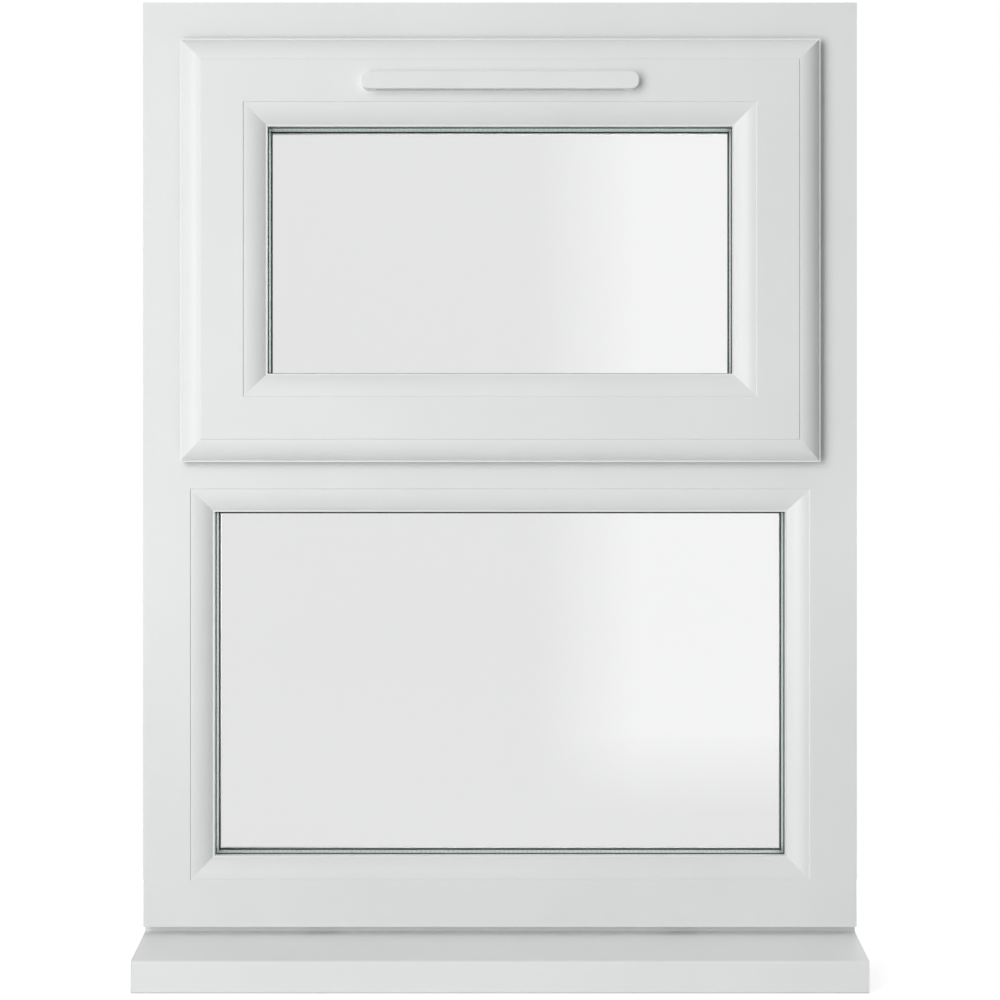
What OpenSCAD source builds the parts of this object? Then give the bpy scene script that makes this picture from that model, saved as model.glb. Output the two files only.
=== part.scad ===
// Top hung window: a fixed lower light, a top hung sash on friction stays and a projecting cill.
// X runs along the width, Y from the outside to the room, Z up. The frame's outer face is y = 0,
// and the cill's bedding face is z = 0. Profiles are drawn as [distance in from the edge, y].

/* [Frame] */
// Overall width of the frame
frame_w = 610; // [520:5:900]
// Height of the frame without the cill
frame_h = 790; // [740:5:1100]
// Depth of the frame from the outside to the room
frame_d = 70; // [68:1:80]
// Width of the flat outer face of the frame
frame_flat = 40; // [36:1:50]
// Width of the flat outer face of the transom
transom_flat = 30.5; // [28:0.5:44]
// Distance of the transom's middle below the top of the frame
transom_drop = 400; // [375:5:560]
// Thickness of the upstand on the room side that the glass and the sash close against
upstand_t = 18; // [14:1:22]
// Thickness of the profile walls
wall = 2.8; // [2:0.1:3.2]
// Thickness of the walls that the beads clip into
seat_t = 5.5; // [5:0.1:6]
// Length of a drain slot
drain_l = 28; // [20:1:35]
// Width of a drain slot
drain_w = 5; // [4:0.5:6]
// Radius of the fixing holes through the jambs
fixing_r = 4; // [3:0.5:5]
// Distance of the fixing holes from the frame's face
fixing_y = 36; // [30:1:40]
// Height of the lower fixing holes above the bottom of the frame
low_fixing = 150; // [120:5:200]
// Distance of the upper fixing holes below the top of the frame
high_fixing = 100; // [90:5:120]

/* [Beads and glass] */
// Width of a bead's moulded face, and of the upstand behind it
bead_w = 20; // [18:0.1:22]
// Depth of the step between a flat face and its moulding
bead_step = 0.8; // [0.5:0.1:1.2]
// Width of that step, which slopes
step_w = 0.7; // [0.4:0.1:1]
// Depth from a flat face to the nib at the end of a bead
bead_drop = 8; // [6:0.5:10]
// Width of the nib at the end of a moulding
bead_nib = 1.2; // [0.8:0.1:2]
// Thickness of one pane
pane_t = 4; // [3:0.5:6]
// Gap between the two panes
pane_gap = 20; // [12:1:22]
// Thickness of the gaskets on the two sides of the glass
gasket_t = 3; // [2:0.5:4]
// Gap between the glass and the profile, filled by the packers
packer_t = 5; // [3:0.5:6]

/* [Sash] */
// Overlap of the sash on the flat face of the frame
overlap = 8; // [6:0.5:9]
// Distance of the sash's face in front of the frame's face
sash_proud = 20; // [18:1:24]
// Width of the moulded outer edge of the sash
edge_w = 19.5; // [18:0.5:20]
// Depth from the sash's face to the nib at its outer edge
edge_drop = 11.5; // [9:0.5:12]
// Width of the flat outer face of the sash
sash_flat = 35.6; // [34:0.2:44]
// Gap between the sash's flange and the frame's face
flange_gap = 5; // [4:0.5:6]
// Gap between the sash and the platform of the frame
rebate_gap = 12; // [12:0.5:12.5]
// Gap between the sash's room face and the frame's upstand
seal_gap = 4; // [3:0.5:5]
// Gap left between a resting seal and the face it closes on
seal_clear = 0.3; // [0.2:0.1:0.5]

/* [Cill] */
// Height of the cill under the frame
cill_h = 30; // [26:1:36]
// Distance of the cill's nose in front of the frame's face
cill_out = 80; // [50:5:110]
// Height of the nose
nose_h = 26.8; // [20:0.2:32]
// Depth of the nose below the bedding face
nose_drop = 12.3; // [8:0.1:16]
// Thickness of the nose
nose_t = 11; // [8:0.5:14]
// Distance of the riser behind the frame's face
riser_in = 13; // [8:0.5:18]
// Height of the riser
riser_h = 5.5; // [3:0.5:8]
// Thickness of the caps on the cill's ends
cap_t = 2; // [1.5:0.5:3]

/* [Stays] */
// Thickness of the stays' strips
strip_t = 2.3; // [2:0.1:2.5]
// Width of the arms' round ends
arm_w = 13; // [12.5:0.5:14]
// Width of an arm between its rounded ends
arm_waist = 11.5; // [9:0.5:11.5]
// Radius of the stays' rivets
rivet_r = 2.5; // [2:0.1:3]
// Clearance round a rivet that an arm turns on
rivet_clear = 0.05; // [0.02:0.01:0.08]
// Extra radius of the lower arm's hole at the sash
float_clear = 1.1; // [1:0.1:1.5]

/* [Lock] */
// Width of the groove for the lock in the sash's edge
groove_w = 16; // [15:0.5:18]
// Depth of the groove
groove_d = 5.2; // [5:0.1:5.6]
// Distance of the spindle from the sash's outer edge
spindle_in = 42; // [41:0.5:44]
// Width of the square spindle
spindle_w = 7; // [6:0.5:8]
// Travel of the drive bar for a quarter turn of the handle
drive_travel = 18; // [18:0.5:19]
// Radius of the lock cams
cam_r = 4.5; // [4:0.1:5]
// Distance of each lock cam from the middle of the sash
cam_x = 150; // [110:5:180]
// Length of the handle's lever from the spindle
lever_l = 110; // [90:5:125]
// Width of the lever at its end
lever_w = 14; // [12:0.5:15]
// Width of the lever's narrowest place
lever_waist = 10; // [8:0.5:11]
// Width of the plate under the lever
handle_base_w = 20; // [19:0.5:24]

/* [Vent] */
// Width of the canopy outside
canopy_w = 235; // [180:5:300]
// Height of the canopy
canopy_h = 15.5; // [14:0.5:20]
// Distance of the canopy's front from the sash's face
canopy_out = 9; // [9:0.5:20]
// Radius of the canopy's corners
canopy_r = 6.5; // [4:0.5:7]
// Width of the bevel round the canopy's front
canopy_bevel = 2; // [1:0.5:2.5]
// Height of the slot for air through the sash
vent_slot_h = 8; // [6:0.5:10]
// Travel of the shutter
shutter_travel = 12; // [8:1:12]

/* [Hidden] */
$fn = 48;

upvc = [0.93, 0.94, 0.95];
rubber = [0.12, 0.13, 0.13];
steel = [0.72, 0.73, 0.75];
glass = [0.78, 0.86, 0.84, 0.45];
packer = [0.27, 0.51, 0.71];

// Frame: the platform carries the beads and the stays, and the transom splits the opening
frame_top = cill_h + frame_h;
transom_z = frame_top - transom_drop;
upstand_y = frame_d - upstand_t;
platform_w = frame_w - 2 * frame_flat;
lower_z0 = cill_h + frame_flat;
lower_z1 = transom_z - transom_flat / 2;
upper_z0 = transom_z + transom_flat / 2;
upper_z1 = frame_top - frame_flat;
lower_h = lower_z1 - lower_z0;
upper_h = upper_z1 - upper_z0;
cell_y = frame_d / 3;
cut = 1;

// Drains: water under the glass falls into the front cell, and leaves in front of the cill's riser
drain_in_x = frame_w / 10;
drain_out_x = frame_w / 4;
drain_in_y = cell_y - drain_w / 2;
drain_out_y = riser_in / 2;

// Cill: the nose is rounded at its top and eased along its lower edge
nose_r = 2.8;
nose_edge = 1;

// Sash: its outer edge laps the frame by the overlap, and its stem stands in the rebate
stem_in = overlap + rebate_gap;
sash_w = platform_w + 2 * overlap;
sash_z0 = upper_z0 - overlap;
sash_h = upper_z1 - upper_z0 + 2 * overlap;
sash_face = -sash_proud;
sash_back = upstand_y - seal_gap;
sash_platform = edge_w + sash_flat;
sash_upstand_y = sash_back - upstand_t;
glazing_w = sash_w - 2 * sash_platform;
glazing_z0 = sash_z0 + sash_platform;
glazing_h = sash_h - 2 * sash_platform;

// Glass: the unit is held between the inner gasket on the upstand and the gasket behind the bead
unit_t = 2 * pane_t + pane_gap;
spacer_in = 4;
spacer_w = 10;
lower_glass_y = upstand_y - gasket_t - unit_t;
upper_glass_y = sash_upstand_y - gasket_t - unit_t;
gasket_w = bead_w - packer_t - 1;
gasket_seat = 0.4;
gasket_lip = 0.7;
gasket_show = 1.5;
packer_l = 100;

// Bead: a hollow strip with a leg that clips into a groove along the bar
bead_back = gasket_t - gasket_seat;
cell_shoulder = 0.42 * bead_w;
cell_waist = 0.74 * bead_w;
cell_floor = 2;
clip_y = 7;
clip_t = 2.4;
clip_d = 3;
clip_clear = 0.2;
clip_short = 10;

// Seals: a foot, a neck and a hollow bulb
seal_foot = 5;
seal_foot_t = 1;
seal_neck = 2;
seal_r = 1.75;
seal_bore = 0.9;
frame_seal_in = bead_w - 4;
sash_seal_in = 4.3;

// Stays: strips in layers from the frame's platform to the sash's stem
// Each pivot is [y, depth below the frame's top], and the four are matched: moving one jams the sash
upper_frame_pivot = [27.5, 185.1];
upper_sash_pivot = [11.4, 96.9];
lower_frame_pivot = [39.5, 334.2];
lower_sash_pivot = [11.3, 121.9];
layer_gap = (rebate_gap - 4 * strip_t) / 3;
rivet_head_r = 4;
rivet_head_t = 0.55;
rivet_head_gap = 0.05;
rivet_recess = 0.1;
rivet_fit = 0.02;
rivet_lap = 0.1;
screw_r = 2;
screw_head_r = 3.6;
track_screws = [172, 225, 290, 347];
bar_screws = [78, 109.4, 141];
track_y = [18, 47];
track_over = 24;
bar_y = [3, 20];
bar_over = 28;

// Lock: the faceplate closes the groove over the drive bar
groove_y = [8, 8 + groove_w];
groove_mid = groove_y[0] + groove_w / 2;
plate_t = 2.2;
slide_clear = 0.2;
bar_t = groove_d - plate_t - 2 * slide_clear;
bar_w = groove_w - 2 * slide_clear;
bar_in = stem_in + plate_t + slide_clear;
lock_l = 400;
lock_screw_x = 70;
teeth = 14;
quarter_turn = 90;
spindle_z = sash_z0 + spindle_in;
pitch_r = drive_travel / (quarter_turn * PI / 180);
module_size = 2 * pitch_r / teeth;
addendum = 0.8 * module_size;
dedendum = 1.05 * module_size;
pressure_angle = 20;
backlash = 0.3;
pinion_t = 8;
pocket_l = 62;
case_wall = 1.5;
case_clear = 0.5;
case_top = sash_platform - wall - case_clear;
case_bore = 0.75 * spindle_w;
ear_l = 5;
ear_t = 3;
hub_r = 7;
groove_wall = 1.8;
chamber_in = stem_in + groove_d + groove_wall;
cam_clear = 0.6;
cam_drop = 9.2;
cam_head = 7.2;
keep_base_t = 1.2;
keep_h = 6.6;
keep_wall_t = 2.5;
keep_over = 4;
keep_back = 4;
keep_lead = 2;
keep_tail = 8;
keep_screw_in = 3.8;
keep_head_r = 3;

// Handle: a crowned plate on the sash, and a lever that tapers to a waist and is crowned too
handle_base_t = 9;
handle_base_l = 0.75 * lever_l;
base_crown_r = 30;
finger_gap = 9;
lever_t = 12;
lever_y = handle_base_t + finger_gap;
lever_crown_r = 14;
lever_lean = 1.4;
lever_boss_r = lever_w / 2 + 1.5;
lever_waist_x = 0.36 * lever_l;
lever_step = 0.3;
neck_r = lever_w / 2;
spindle_end = 6;
spindle_play = 1;

// Vent: the slot through the top rail sits in the middle of the canopy
vent_low = 1.4;
vent_z = sash_z0 + sash_h - edge_w - sash_flat / 2 - vent_low;
vent_body_h = 20;
vent_body_over = 2.5;
vent_body_w = canopy_w + 2 * vent_body_over;
vent_body_t = 12;
vent_wall = 1.6;
shutter_t = 1.8;
grille_pitch = 24;
grille_end = 25;
grille_n = floor((canopy_w - 2 * grille_end) / grille_pitch);
grille_slot = 11;
knob_w = 5;
knob_out = 6;
knob_in = 28;
knob_x = vent_body_w / 2 - knob_in;
knob_play = 0.5;
vent_slots = 3;
vent_slot_run = canopy_w - 20;
vent_slot_web = 8;
canopy_floor = 2;
canopy_gap = 4;

// Points of a moulding, from its flat: [distance along the face, depth below the flat]
function moulding(w, drop) =
    let (run = w - step_w - bead_nib, fall = drop - bead_step)
    let (r = (run * run + fall * fall) / (2 * fall))
    let (sweep = asin(run / r), steps = 10)
    concat(
        [[0, 0], [step_w, bead_step]],
        [for (i = [1:steps]) let (a = sweep * i / steps) [step_w + r * sin(a), bead_step + r * (1 - cos(a))]],
        [[w, drop]]
    );

// Involute of the pinion's base circle at a roll angle in degrees
function involute(r, roll) =
    let (s = roll * PI / 180)
    r * [cos(roll) + s * sin(roll), sin(roll) - s * cos(roll)];

function turned(p, a) = [p[0] * cos(a) - p[1] * sin(a), p[0] * sin(a) + p[1] * cos(a)];

// A bar along X with mitred ends, from a profile drawn as [distance in from the edge, y]
module mitred_bar(l, reach) {
    intersection() {
        rotate([0, -90, 0])
            linear_extrude(l, center = true)
                children();
        rotate([90, 0, 0])
            linear_extrude(4 * frame_d, center = true)
                polygon([[-l / 2, 0], [l / 2, 0], [l / 2 - reach, reach], [reach - l / 2, reach]]);
    }
}

// Puts a bar on one side of a rectangle whose lower edge is at z0
module on_side(side, w, h, z0) {
    if (side == "bottom") translate([0, 0, z0]) children();
    if (side == "top") translate([0, 0, z0 + h]) mirror([0, 0, 1]) children();
    if (side == "left") translate([-w / 2, 0, z0 + h / 2]) rotate([0, 90, 0]) children();
    if (side == "right") translate([w / 2, 0, z0 + h / 2]) rotate([0, -90, 0]) children();
}

function side_length(side, w, h) = side == "left" || side == "right" ? h : w;

// A rectangular ring between two distances in from the edges of a rectangle
module ring(w, h, z0, in0, in1, y0, y1) {
    difference() {
        translate([in0 - w / 2, y0, z0 + in0])
            cube([w - 2 * in0, y1 - y0, h - 2 * in0]);
        translate([in1 - w / 2, y0 - cut, z0 + in1])
            cube([w - 2 * in1, y1 - y0 + 2 * cut, h - 2 * in1]);
    }
}

// A rectangle given by its two corners
module span(a, b) {
    translate([min(a[0], b[0]), min(a[1], b[1])])
        square([abs(b[0] - a[0]), abs(b[1] - a[1])]);
}

// A round bar along X, drawn from one distance to another
module along_x(r, x0, x1) {
    translate([x0, 0, 0]) rotate([0, 90, 0]) cylinder(r = r, h = x1 - x0);
}

// A round bar along Y
module along_y(r, y0, y1) {
    translate([0, y0, 0]) rotate([-90, 0, 0]) cylinder(r = r, h = y1 - y0);
}

// Frame

// The groove for a bead's leg, in a platform whose bar has its face at face_y
module clip_groove(platform, face_y) {
    span(
        [platform - clip_d - clip_clear, face_y + clip_y - clip_clear],
        [platform + cut, face_y + clip_y + clip_t + clip_clear]
    );
}

module frame_profile() {
    difference() {
        union() {
            span([0, 0], [frame_flat, frame_d]);
            span([0, upstand_y], [frame_flat + bead_w, frame_d]);
        }
        span([wall, wall], [frame_flat - seat_t, cell_y]);
        span([wall, cell_y + wall], [frame_flat - wall, upstand_y - wall / 2]);
        span([wall, upstand_y + wall / 2], [frame_flat + bead_w - wall, frame_d - wall]);
        clip_groove(frame_flat, 0);
    }
}

module frame_bar(side) {
    color(upvc)
        on_side(side, frame_w, frame_h, cill_h)
            mitred_bar(side_length(side, frame_w, frame_h), frame_flat + bead_w)
                frame_profile();
}

// A jamb is drilled for the two screws that fix the frame to the wall
module drilled_jamb(side) {
    color(upvc)
        difference() {
            frame_bar(side);
            for (z = [cill_h + low_fixing, frame_top - high_fixing])
                translate([0, fixing_y, z])
                    along_x(fixing_r, side == "left" ? -frame_w : 0, side == "left" ? 0 : frame_w);
        }
}

module frame_head() { frame_bar("top"); }

// The bottom rail is drained through slots in its platform and its underside
module frame_bottom_rail() {
    color(upvc)
        difference() {
            frame_bar("bottom");
            for (x = [-1, 1]) {
                translate([x * drain_in_x, drain_in_y, lower_z0 - seat_t / 2])
                    cube([drain_l, drain_w, seat_t + 2 * cut], center = true);
                translate([x * drain_out_x, drain_out_y, cill_h + wall / 2])
                    cube([drain_l, drain_w, wall + 2 * cut], center = true);
            }
        }
}

module frame_jamb_left() { drilled_jamb("left"); }
module frame_jamb_right() { drilled_jamb("right"); }

// The transom's ends butt on the platforms and the upstands of the jambs
module transom() {
    half = transom_flat / 2;
    color(upvc)
        intersection() {
            translate([0, 0, transom_z])
                rotate([0, -90, 0])
                    linear_extrude(platform_w, center = true)
                        difference() {
                            union() {
                                span([-half, 0], [half, frame_d]);
                                span([-half - bead_w, upstand_y], [half + bead_w, frame_d]);
                            }
                            span([seat_t - half, wall], [half - seat_t, cell_y]);
                            span([wall - half, cell_y + wall], [half - wall, upstand_y - wall / 2]);
                            clip_groove(half, 0);
                            mirror([1, 0]) clip_groove(half, 0);
                            span(
                                [wall - half - bead_w, upstand_y + wall / 2],
                                [half + bead_w - wall, frame_d - wall]
                            );
                        }
            linear_extrude(frame_top)
                union() {
                    span([-platform_w / 2, 0], [platform_w / 2, upstand_y]);
                    span([bead_w - platform_w / 2, 0], [platform_w / 2 - bead_w, frame_d]);
                }
        }
}

// Outline of the cill as [y, z]: bedding face, riser, sloping top and hanging nose
module cill_outline() {
    nose_top = nose_h - nose_drop;
    polygon(concat(
        [[frame_d, 0], [frame_d, cill_h], [riser_in, cill_h], [riser_in, cill_h - riser_h]],
        [
            for (a = [90:15:180])
                [nose_r * (1 + cos(a)) - cill_out, nose_top - nose_r * (1 - sin(a))]
        ],
        [
            [-cill_out, nose_edge - nose_drop], [nose_edge - cill_out, -nose_drop],
            [nose_t - cill_out, -nose_drop], [nose_t - cill_out, 0]
        ]
    ));
}

module cill() {
    cell = (frame_d - riser_in) / 2;
    front = nose_t + wall - cill_out;
    fall = (cill_h - riser_h - nose_h + nose_drop) / (riser_in + cill_out);
    color(upvc)
        rotate([90, 0, 90])
            linear_extrude(frame_w - 2 * cap_t, center = true)
                difference() {
                    cill_outline();
                    span([riser_in + wall, wall], [riser_in + cell, cill_h - wall]);
                    span([riser_in + cell + wall, wall], [frame_d - wall, cill_h - wall]);
                    polygon([
                        [riser_in, wall], [riser_in, cill_h - riser_h - wall],
                        [front, nose_h - nose_drop + fall * (nose_t + wall) - wall], [front, wall]
                    ]);
                }
}

module cill_end_caps() {
    color(upvc)
        for (side = [-1, 1])
            translate([side * (frame_w - cap_t) / 2, 0, 0])
                rotate([90, 0, 90])
                    linear_extrude(cap_t, center = true)
                        cill_outline();
}

// Glass units and beads, shared by the two lights

// A hollow bead that lies on the platform in front of the glass
module bead_profile(face_y, glass_y) {
    back = glass_y - bead_back;
    difference() {
        polygon(concat(
            [for (p = moulding(bead_w, bead_drop)) [p[0], face_y + p[1]]],
            [[bead_w, back], [0, back]]
        ));
        polygon([
            [wall, face_y + bead_step + wall], [cell_shoulder, face_y + bead_step + 2 * wall],
            [cell_waist, face_y + bead_drop], [cell_waist, back - cell_floor], [wall, back - cell_floor]
        ]);
    }
}

// The leg stops short of the mitres and stands in the groove of its bar
module bead_leg(l, face_y) {
    rotate([0, -90, 0])
        linear_extrude(l - 2 * clip_short, center = true)
            span([-clip_d, face_y + clip_y], [wall / 2, face_y + clip_y + clip_t]);
}

module bead(side, w, h, z0, face_y, glass_y) {
    l = side_length(side, w, h);
    color(upvc)
        on_side(side, w, h, z0) {
            mitred_bar(l, bead_w) bead_profile(face_y, glass_y);
            bead_leg(l, face_y);
        }
}

module pane(w, h, z0, y0) {
    color(glass)
        translate([packer_t - w / 2, y0, z0 + packer_t])
            cube([w - 2 * packer_t, pane_t, h - 2 * packer_t]);
}

module spacer_bar(w, h, z0, glass_y) {
    edge = packer_t + spacer_in;
    color(steel)
        ring(w, h, z0, edge, edge + spacer_w, glass_y + pane_t, glass_y + pane_t + pane_gap);
}

module bead_gasket(w, h, z0, glass_y) {
    edge = bead_w - gasket_w;
    color(rubber)
        ring(w, h, z0, edge, bead_w + gasket_lip, glass_y - bead_back, glass_y);
}

module inner_gasket(w, h, z0, glass_y) {
    edge = bead_w - gasket_w;
    color(rubber)
        ring(w, h, z0, edge, bead_w + gasket_show, glass_y + unit_t, glass_y + unit_t + gasket_t);
}

// Packers lie between the platform and the edges of the glass
module packers(w, h, z0, glass_y) {
    color(packer)
        for (x = [-1, 1])
            for (z = [z0, z0 + h - packer_t])
                translate([x * (w / 2 - packer_l) - packer_l / 2, glass_y, z])
                    cube([packer_l, unit_t, packer_t]);
}

module lower_outer_pane() { pane(platform_w, lower_h, lower_z0, lower_glass_y); }
module lower_inner_pane() { pane(platform_w, lower_h, lower_z0, lower_glass_y + pane_t + pane_gap); }
module lower_spacer_bar() { spacer_bar(platform_w, lower_h, lower_z0, lower_glass_y); }
module lower_bead_top() { bead("top", platform_w, lower_h, lower_z0, 0, lower_glass_y); }
module lower_bead_bottom() { bead("bottom", platform_w, lower_h, lower_z0, 0, lower_glass_y); }
module lower_bead_left() { bead("left", platform_w, lower_h, lower_z0, 0, lower_glass_y); }
module lower_bead_right() { bead("right", platform_w, lower_h, lower_z0, 0, lower_glass_y); }
module lower_bead_gasket() { bead_gasket(platform_w, lower_h, lower_z0, lower_glass_y); }
module lower_inner_gasket() { inner_gasket(platform_w, lower_h, lower_z0, lower_glass_y); }
module lower_glazing_packers() { packers(platform_w, lower_h, lower_z0, lower_glass_y); }

module upper_outer_pane() { pane(glazing_w, glazing_h, glazing_z0, upper_glass_y); }
module upper_inner_pane() { pane(glazing_w, glazing_h, glazing_z0, upper_glass_y + pane_t + pane_gap); }
module upper_spacer_bar() { spacer_bar(glazing_w, glazing_h, glazing_z0, upper_glass_y); }
module upper_bead_top() { bead("top", glazing_w, glazing_h, glazing_z0, sash_face, upper_glass_y); }
module upper_bead_bottom() { bead("bottom", glazing_w, glazing_h, glazing_z0, sash_face, upper_glass_y); }
module upper_bead_left() { bead("left", glazing_w, glazing_h, glazing_z0, sash_face, upper_glass_y); }
module upper_bead_right() { bead("right", glazing_w, glazing_h, glazing_z0, sash_face, upper_glass_y); }
module upper_bead_gasket() { bead_gasket(glazing_w, glazing_h, glazing_z0, upper_glass_y); }
module upper_inner_gasket() { inner_gasket(glazing_w, glazing_h, glazing_z0, upper_glass_y); }
module upper_glazing_packers() { packers(glazing_w, glazing_h, glazing_z0, upper_glass_y); }

// Sash

module sash_profile() {
    edge = moulding(edge_w, edge_drop);
    difference() {
        polygon(concat(
            [[0, -flange_gap]],
            [for (i = [len(edge) - 1:-1:0]) [edge_w - edge[i][0], sash_face + edge[i][1]]],
            [
                [sash_platform, sash_face], [sash_platform, sash_upstand_y],
                [sash_platform + bead_w, sash_upstand_y], [sash_platform + bead_w, sash_back],
                [stem_in, sash_back], [stem_in, -flange_gap]
            ]
        ));
        span([stem_in, groove_y[0]], [stem_in + groove_d, groove_y[1]]);
        span([stem_in + wall, sash_face + wall], [sash_platform - seat_t, -flange_gap - wall / 2]);
        clip_groove(sash_platform, sash_face);
        span([chamber_in, wall / 2 - flange_gap], [sash_platform - wall, sash_upstand_y - wall / 2]);
        span([stem_in + wall, sash_upstand_y + wall / 2], [sash_platform + bead_w - wall, sash_back - wall]);
    }
}

module sash_bar_profile(side) {
    on_side(side, sash_w, sash_h, sash_z0)
        mitred_bar(side_length(side, sash_w, sash_h), sash_platform + bead_w)
            sash_profile();
}

module sash_stile_left() { color(upvc) sash_bar_profile("left"); }
module sash_stile_right() { color(upvc) sash_bar_profile("right"); }

// The top rail has a row of slots routed through it for the vent
module sash_top_rail() {
    pitch = vent_slot_run / vent_slots;
    color(upvc)
        difference() {
            sash_bar_profile("top");
            for (i = [0:vent_slots - 1])
                translate([(i - (vent_slots - 1) / 2) * pitch, 0, vent_z])
                    cube([pitch - vent_slot_web, 4 * frame_d, vent_slot_h], center = true);
        }
}

// The bottom rail has a pocket for the gearbox and a hole for the spindle
module sash_bottom_rail() {
    color(upvc)
        difference() {
            sash_bar_profile("bottom");
            translate([-pocket_l / 2, groove_y[0], sash_z0 + stem_in + cut])
                cube([pocket_l, groove_w, chamber_in - stem_in]);
            translate([0, 0, spindle_z])
                along_y(spindle_w, groove_y[1], frame_d);
        }
}

// Seals

module seal_profile(middle, base_y, tip_y) {
    way = sign(tip_y - base_y);
    bulb_y = tip_y - way * seal_r;
    difference() {
        union() {
            span([middle - seal_foot / 2, base_y], [middle + seal_foot / 2, base_y + way * seal_foot_t]);
            span([middle - seal_neck / 2, base_y], [middle + seal_neck / 2, bulb_y]);
            translate([middle, bulb_y]) circle(r = seal_r);
        }
        translate([middle, bulb_y]) circle(r = seal_bore);
    }
}

module seal_ring(w, h, z0, middle, base_y, tip_y) {
    color(rubber)
        for (side = ["bottom", "top", "left", "right"])
            on_side(side, w, h, z0)
                mitred_bar(side_length(side, w, h), middle + seal_foot)
                    seal_profile(middle, base_y, tip_y);
}

module frame_weatherseal() {
    seal_ring(platform_w, upper_h, upper_z0, frame_seal_in, upstand_y, sash_back + seal_clear);
}

module sash_weatherseal() {
    seal_ring(sash_w, sash_h, sash_z0, sash_seal_in, -flange_gap, -seal_clear);
}

// Friction stays: each strip lies in its own layer, counted from the frame's platform

module in_layer(side, layer) {
    x = platform_w / 2 - layer * (strip_t + layer_gap);
    mirror([side < 0 ? 1 : 0, 0, 0])
        translate([x - strip_t, 0, frame_top])
            rotate([90, 0, 90])
                children();
}

function stay_point(p) = [p[0], -p[1]];

// A strip between two pivots, with round ends
module arm_strip(a, b, hole_a, hole_b) {
    d = b - a;
    linear_extrude(strip_t)
        difference() {
            union() {
                translate(a)
                    rotate(atan2(d[1], d[0]))
                        translate([0, -arm_waist / 2]) square([norm(d), arm_waist]);
                translate(a) circle(d = arm_w);
                translate(b) circle(d = arm_w);
            }
            translate(a) circle(r = hole_a);
            translate(b) circle(r = hole_b);
        }
}

// A screw hole with its countersink on the face that shows: the lower face, or the upper one
module sunk_hole(t, head_r, head_up) {
    translate([0, 0, head_up ? 0 : -cut / 2])
        cylinder(r = screw_r, h = t + cut / 2);
    cylinder(r1 = head_up ? screw_r : head_r, r2 = head_up ? head_r : screw_r, h = t);
}

module stay_track(side) {
    mid = (track_y[0] + track_y[1]) / 2;
    color(steel)
        in_layer(side, 0)
            difference() {
                linear_extrude(strip_t)
                    difference() {
                        span(
                            [track_y[0], -lower_frame_pivot[1] - track_over],
                            [track_y[1], track_over - upper_frame_pivot[1]]
                        );
                        for (p = [upper_frame_pivot, lower_frame_pivot])
                            translate(stay_point(p)) circle(r = rivet_r + rivet_fit);
                    }
                for (z = track_screws)
                    translate(stay_point([mid, z])) sunk_hole(strip_t, screw_head_r, false);
            }
}

module sash_bar(side) {
    mid = (bar_y[0] + bar_y[1]) / 2;
    color(steel)
        in_layer(side, 3)
            difference() {
                linear_extrude(strip_t)
                    difference() {
                        span(
                            [bar_y[0], -lower_sash_pivot[1] - bar_over],
                            [bar_y[1], bar_over - upper_sash_pivot[1]]
                        );
                        for (p = [upper_sash_pivot, lower_sash_pivot])
                            translate(stay_point(p)) circle(r = rivet_r + rivet_fit);
                    }
                for (z = bar_screws)
                    translate(stay_point([mid, z])) sunk_hole(strip_t, screw_head_r, true);
            }
}

module upper_arm(side) {
    color(steel)
        in_layer(side, 1)
            arm_strip(
                stay_point(upper_frame_pivot), stay_point(upper_sash_pivot),
                rivet_r + rivet_clear, rivet_r + rivet_clear
            );
}

module lower_arm(side) {
    color(steel)
        in_layer(side, 2)
            arm_strip(
                stay_point(lower_frame_pivot), stay_point(lower_sash_pivot),
                rivet_r + rivet_clear, rivet_r + float_clear
            );
}

// A rivet through the layers from first to last, with its head over the arm that turns on it
module rivet(side, p, first, last, head_in) {
    l = (last - first) * (strip_t + layer_gap) + strip_t;
    in_layer(side, last)
        translate(stay_point(p)) {
            translate([0, 0, head_in ? -rivet_head_gap - rivet_lap : rivet_recess])
                cylinder(r = rivet_r, h = l - rivet_recess + rivet_head_gap + rivet_lap);
            translate([0, 0, head_in ? -rivet_head_gap - rivet_head_t : l + rivet_head_gap])
                cylinder(r = rivet_head_r, h = rivet_head_t);
        }
}

module stay_track_left() { stay_track(-1); }
module stay_track_right() { stay_track(1); }
module sash_bar_left() { sash_bar(-1); }
module sash_bar_right() { sash_bar(1); }
module upper_arm_left() { upper_arm(-1); }
module upper_arm_right() { upper_arm(1); }
module lower_arm_left() { lower_arm(-1); }
module lower_arm_right() { lower_arm(1); }

module frame_stay_rivets() {
    color(steel)
        for (side = [-1, 1]) {
            rivet(side, upper_frame_pivot, 0, 1, true);
            rivet(side, lower_frame_pivot, 0, 2, true);
        }
}

module sash_stay_rivets() {
    color(steel)
        for (side = [-1, 1]) {
            rivet(side, upper_sash_pivot, 1, 3, false);
            rivet(side, lower_sash_pivot, 2, 3, false);
        }
}

// Vent

module canopy_outline(inset) {
    r = canopy_r - inset;
    w = canopy_w / 2 - canopy_r;
    h = canopy_h / 2 - canopy_r;
    for (x = [-w, w])
        for (z = [-h, h])
            translate([x, z]) circle(r = r);
    square([2 * w, 2 * (h + r)], center = true);
    square([2 * (w + r), 2 * h], center = true);
}

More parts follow.
